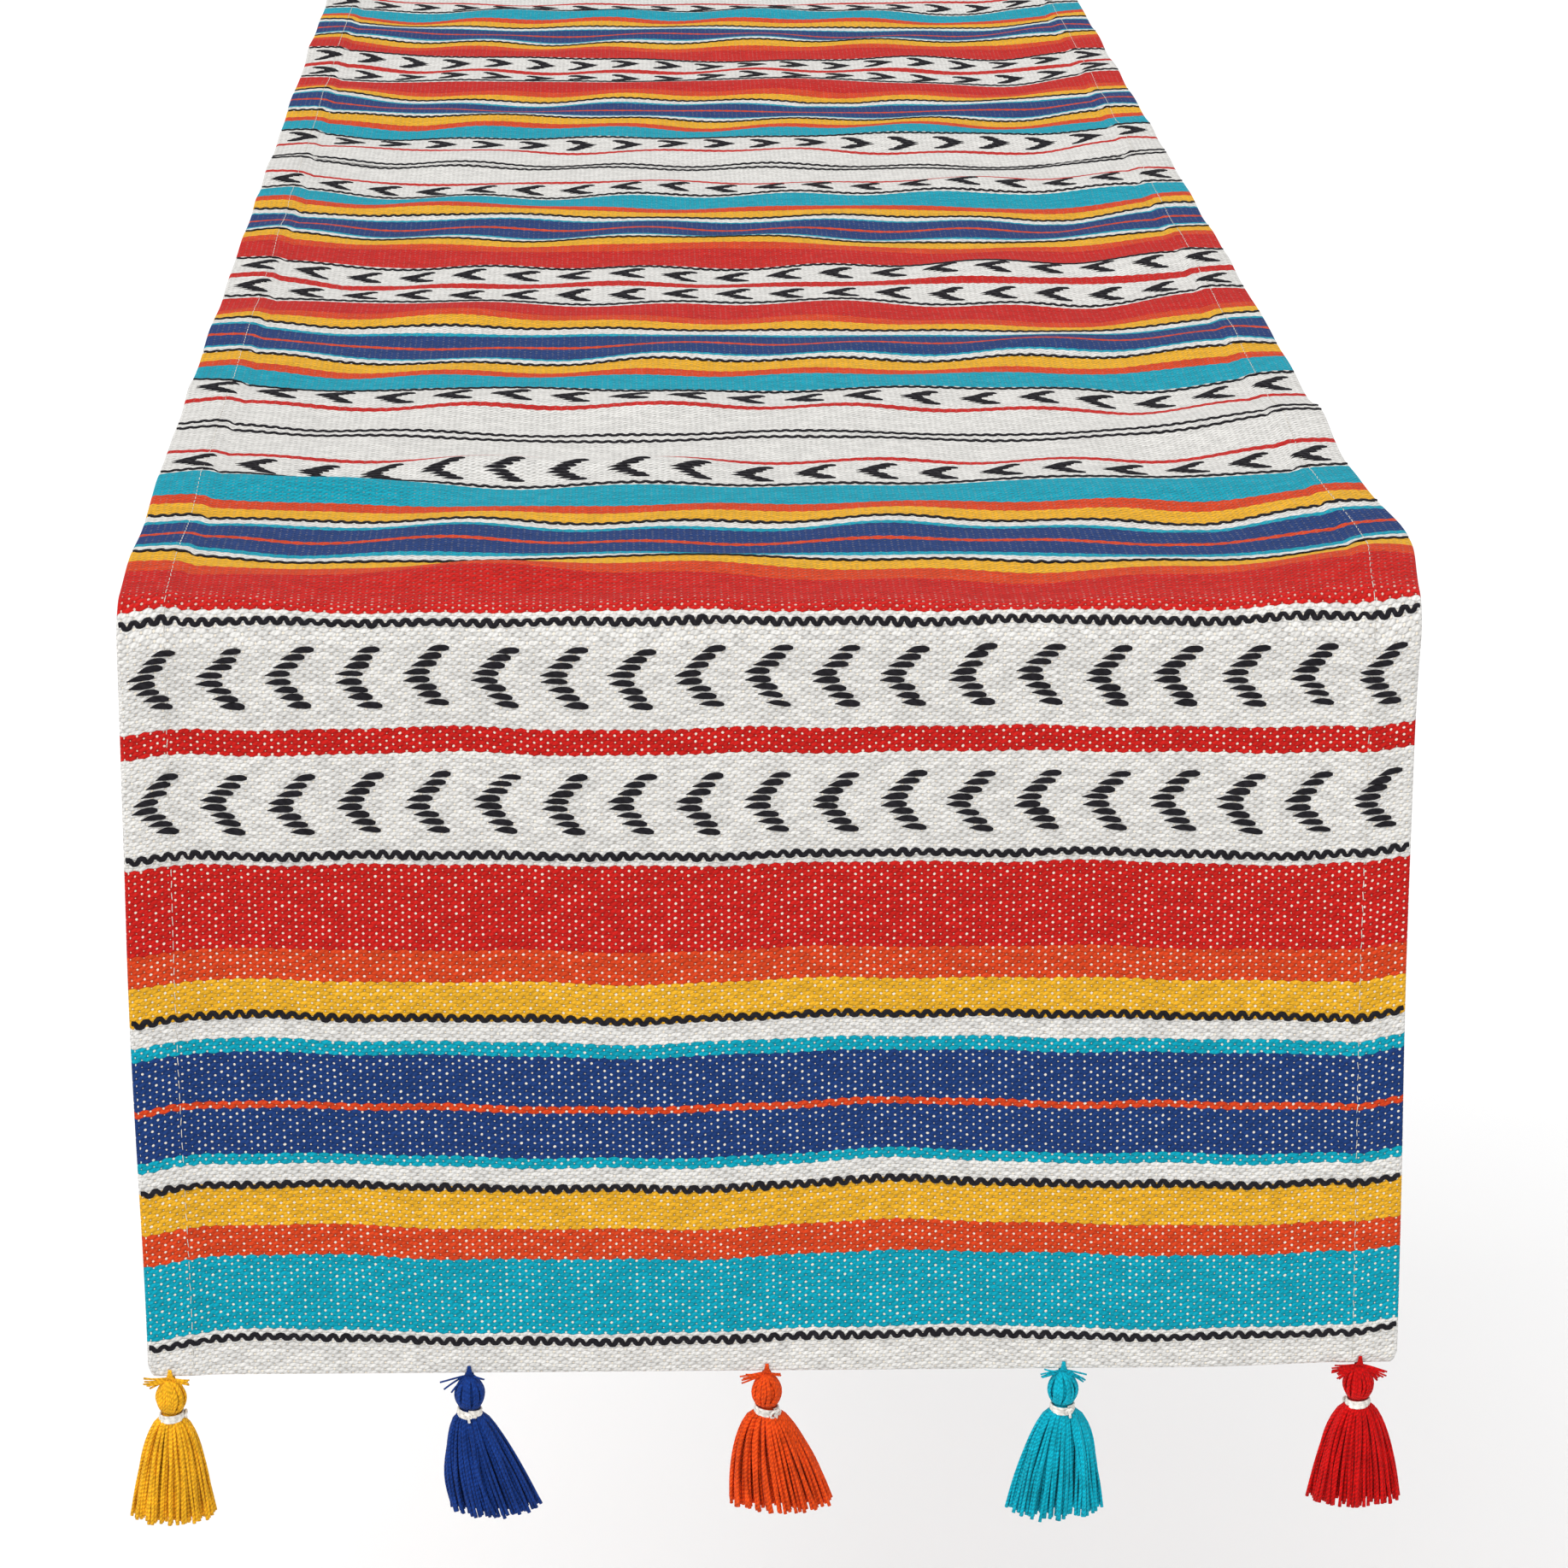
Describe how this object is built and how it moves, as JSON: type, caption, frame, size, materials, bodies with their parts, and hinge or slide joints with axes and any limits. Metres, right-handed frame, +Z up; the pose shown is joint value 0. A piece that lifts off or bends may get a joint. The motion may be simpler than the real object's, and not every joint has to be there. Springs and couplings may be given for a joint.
{
  "type": "table runner",
  "caption": "Striped woven table runner laid along a table, both ends hanging over its edges, with yarn tassels along each end hem.",
  "frame": {"origin": "under the middle of the runner, on the table top's surface that the runner lies on", "axes": "+Z up, +Y along the runner towards the back end, +X across it; the front end hangs at -Y and its tassels run yellow to red towards +X"},
  "size_m": [0.3626, 1.4006, 0.2702],
  "materials": {
    "cotton_cloth": "matte",
    "sewing_thread": "matte",
    "binding_cotton": "matte",
    "yarn_yellow": "satin",
    "yarn_blue": "satin",
    "yarn_orange": "satin",
    "yarn_turquoise": "satin",
    "yarn_red": "satin"
  },
  "bodies": {
    "table_panel": {"top_cloth": "cotton_cloth", "top_left_seam": "sewing_thread", "top_right_seam": "sewing_thread"},
    "front_drop": {"front_drop_cloth": "cotton_cloth", "front_drop_left_seam": "sewing_thread", "front_drop_right_seam": "sewing_thread", "front_hem_seam": "sewing_thread"},
    "front_tassel_1_tie": {"front_tassel_1_tie": "yarn_yellow"},
    "front_tassel_1": {"front_tassel_1_yarn": "yarn_yellow", "front_tassel_1_binding": "binding_cotton"},
    "front_tassel_2_tie": {"front_tassel_2_tie": "yarn_blue"},
    "front_tassel_2": {"front_tassel_2_yarn": "yarn_blue", "front_tassel_2_binding": "binding_cotton"},
    "front_tassel_3_tie": {"front_tassel_3_tie": "yarn_orange"},
    "front_tassel_3": {"front_tassel_3_yarn": "yarn_orange", "front_tassel_3_binding": "binding_cotton"},
    "front_tassel_4_tie": {"front_tassel_4_tie": "yarn_turquoise"},
    "front_tassel_4": {"front_tassel_4_yarn": "yarn_turquoise", "front_tassel_4_binding": "binding_cotton"},
    "front_tassel_5_tie": {"front_tassel_5_tie": "yarn_red"},
    "front_tassel_5": {"front_tassel_5_yarn": "yarn_red", "front_tassel_5_binding": "binding_cotton"},
    "back_drop": {"back_drop_cloth": "cotton_cloth", "back_drop_left_seam": "sewing_thread", "back_drop_right_seam": "sewing_thread", "back_hem_seam": "sewing_thread"},
    "back_tassel_1_tie": {"back_tassel_1_tie": "yarn_yellow"},
    "back_tassel_1": {"back_tassel_1_yarn": "yarn_yellow", "back_tassel_1_binding": "binding_cotton"},
    "back_tassel_2_tie": {"back_tassel_2_tie": "yarn_blue"},
    "back_tassel_2": {"back_tassel_2_yarn": "yarn_blue", "back_tassel_2_binding": "binding_cotton"},
    "back_tassel_3_tie": {"back_tassel_3_tie": "yarn_orange"},
    "back_tassel_3": {"back_tassel_3_yarn": "yarn_orange", "back_tassel_3_binding": "binding_cotton"},
    "back_tassel_4_tie": {"back_tassel_4_tie": "yarn_turquoise"},
    "back_tassel_4": {"back_tassel_4_yarn": "yarn_turquoise", "back_tassel_4_binding": "binding_cotton"},
    "back_tassel_5_tie": {"back_tassel_5_tie": "yarn_red"},
    "back_tassel_5": {"back_tassel_5_yarn": "yarn_red", "back_tassel_5_binding": "binding_cotton"}
  },
  "joints": [
    {"name": "front_edge_fold", "type": "hinge", "parent": "table_panel", "child": "front_drop", "pos_m": [0, -0.6894, 0.0023], "axis": [-1, 0, 0], "range_deg": [0, 90]},
    {"name": "front_tassel_1_sway", "type": "hinge", "parent": "front_drop", "child": "front_tassel_1_tie", "pos_m": [-0.1693, -0.68825, -0.2201], "axis": [0, 1, 0], "range_deg": [-25, 25]},
    {"name": "front_tassel_1_swing", "type": "hinge", "parent": "front_tassel_1_tie", "child": "front_tassel_1", "pos_m": [-0.1693, -0.68825, -0.2246], "axis": [-1, 0, 0], "range_deg": [-60, 60]},
    {"name": "front_tassel_2_sway", "type": "hinge", "parent": "front_drop", "child": "front_tassel_2_tie", "pos_m": [-0.08465, -0.68695, -0.2201], "axis": [0, 1, 0], "range_deg": [-25, 25]},
    {"name": "front_tassel_2_swing", "type": "hinge", "parent": "front_tassel_2_tie", "child": "front_tassel_2", "pos_m": [-0.08465, -0.68695, -0.2246], "axis": [-1, 0, 0], "range_deg": [-60, 60]},
    {"name": "front_tassel_3_sway", "type": "hinge", "parent": "front_drop", "child": "front_tassel_3_tie", "pos_m": [0, -0.68695, -0.2201], "axis": [0, 1, 0], "range_deg": [-25, 25]},
    {"name": "front_tassel_3_swing", "type": "hinge", "parent": "front_tassel_3_tie", "child": "front_tassel_3", "pos_m": [0, -0.68695, -0.2246], "axis": [-1, 0, 0], "range_deg": [-60, 60]},
    {"name": "front_tassel_4_sway", "type": "hinge", "parent": "front_drop", "child": "front_tassel_4_tie", "pos_m": [0.08465, -0.68695, -0.2201], "axis": [0, 1, 0], "range_deg": [-25, 25]},
    {"name": "front_tassel_4_swing", "type": "hinge", "parent": "front_tassel_4_tie", "child": "front_tassel_4", "pos_m": [0.08465, -0.68695, -0.2246], "axis": [-1, 0, 0], "range_deg": [-60, 60]},
    {"name": "front_tassel_5_sway", "type": "hinge", "parent": "front_drop", "child": "front_tassel_5_tie", "pos_m": [0.1693, -0.68825, -0.2201], "axis": [0, 1, 0], "range_deg": [-25, 25]},
    {"name": "front_tassel_5_swing", "type": "hinge", "parent": "front_tassel_5_tie", "child": "front_tassel_5", "pos_m": [0.1693, -0.68825, -0.2246], "axis": [-1, 0, 0], "range_deg": [-60, 60]},
    {"name": "back_edge_fold", "type": "hinge", "parent": "table_panel", "child": "back_drop", "pos_m": [0, 0.6894, 0.0023], "axis": [1, 0, 0], "range_deg": [0, 90]},
    {"name": "back_tassel_1_sway", "type": "hinge", "parent": "back_drop", "child": "back_tassel_1_tie", "pos_m": [0.1693, 0.68825, -0.2201], "axis": [0, -1, 0], "range_deg": [-25, 25]},
    {"name": "back_tassel_1_swing", "type": "hinge", "parent": "back_tassel_1_tie", "child": "back_tassel_1", "pos_m": [0.1693, 0.68825, -0.2246], "axis": [1, 0, 0], "range_deg": [-60, 60]},
    {"name": "back_tassel_2_sway", "type": "hinge", "parent": "back_drop", "child": "back_tassel_2_tie", "pos_m": [0.08465, 0.68695, -0.2201], "axis": [0, -1, 0], "range_deg": [-25, 25]},
    {"name": "back_tassel_2_swing", "type": "hinge", "parent": "back_tassel_2_tie", "child": "back_tassel_2", "pos_m": [0.08465, 0.68695, -0.2246], "axis": [1, 0, 0], "range_deg": [-60, 60]},
    {"name": "back_tassel_3_sway", "type": "hinge", "parent": "back_drop", "child": "back_tassel_3_tie", "pos_m": [0, 0.68695, -0.2201], "axis": [0, -1, 0], "range_deg": [-25, 25]},
    {"name": "back_tassel_3_swing", "type": "hinge", "parent": "back_tassel_3_tie", "child": "back_tassel_3", "pos_m": [0, 0.68695, -0.2246], "axis": [1, 0, 0], "range_deg": [-60, 60]},
    {"name": "back_tassel_4_sway", "type": "hinge", "parent": "back_drop", "child": "back_tassel_4_tie", "pos_m": [-0.08465, 0.68695, -0.2201], "axis": [0, -1, 0], "range_deg": [-25, 25]},
    {"name": "back_tassel_4_swing", "type": "hinge", "parent": "back_tassel_4_tie", "child": "back_tassel_4", "pos_m": [-0.08465, 0.68695, -0.2246], "axis": [1, 0, 0], "range_deg": [-60, 60]},
    {"name": "back_tassel_5_sway", "type": "hinge", "parent": "back_drop", "child": "back_tassel_5_tie", "pos_m": [-0.1693, 0.68825, -0.2201], "axis": [0, -1, 0], "range_deg": [-25, 25]},
    {"name": "back_tassel_5_swing", "type": "hinge", "parent": "back_tassel_5_tie", "child": "back_tassel_5", "pos_m": [-0.1693, 0.68825, -0.2246], "axis": [1, 0, 0], "range_deg": [-60, 60]}
  ]
}
